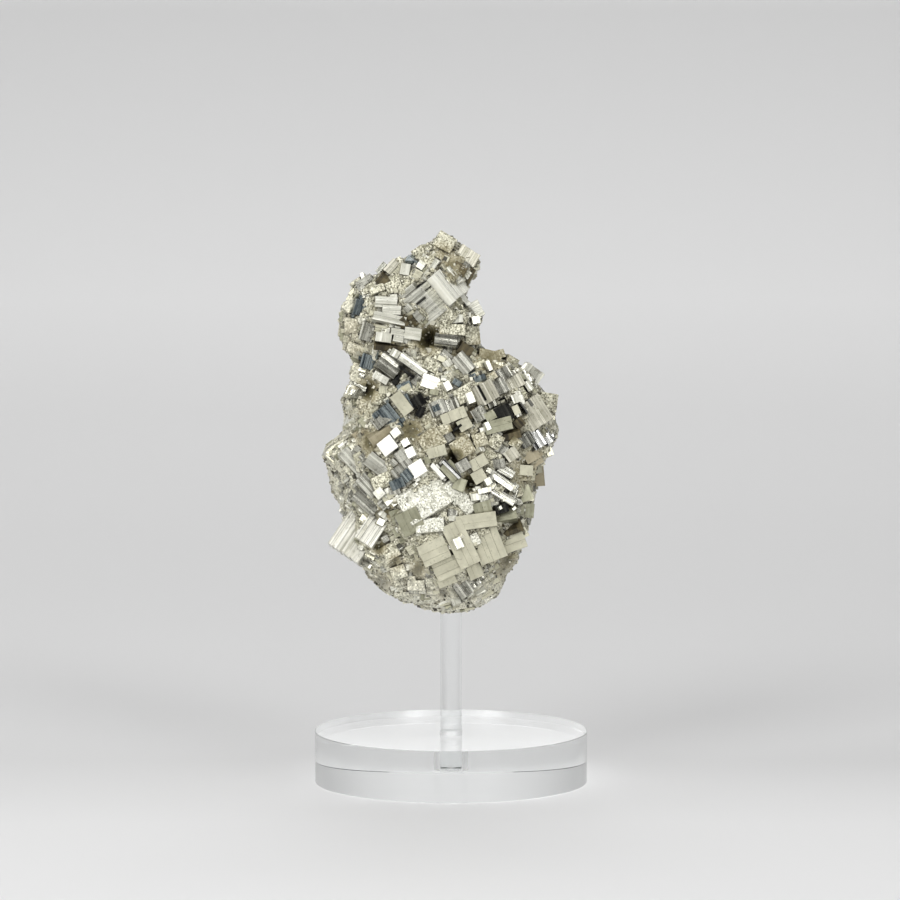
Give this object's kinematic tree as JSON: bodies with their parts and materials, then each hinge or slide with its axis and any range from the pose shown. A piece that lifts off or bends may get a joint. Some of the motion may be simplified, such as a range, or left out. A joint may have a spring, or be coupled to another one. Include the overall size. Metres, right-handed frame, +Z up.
{
  "type": "pyrite specimen on display stand",
  "caption": "Cluster of intergrown cubic pyrite crystals, glued on a clear acrylic rod that stands upright in a thick clear acrylic disc.",
  "frame": {"origin": "centre of the disc's underside, on the surface that the stand rests on", "axes": "+Z up along the rod, -Y towards the front of the specimen (the picture's camera side), +X to the right as seen from the front"},
  "size_m": [0.1016, 0.1016, 0.2079],
  "materials": {
    "pyrite": "natural pyrite: bright pale brassy crystal faces with fine growth lines, grey to slate-blue tarnished faces, and a matte granular crust between the crystals",
    "clear_acrylic": "colourless cast acrylic with flame-polished edges"
  },
  "bodies": {
    "root": {"pyrite_cluster": "pyrite", "acrylic_rod": "clear_acrylic", "acrylic_base": "clear_acrylic"}
  },
  "joints": []
}
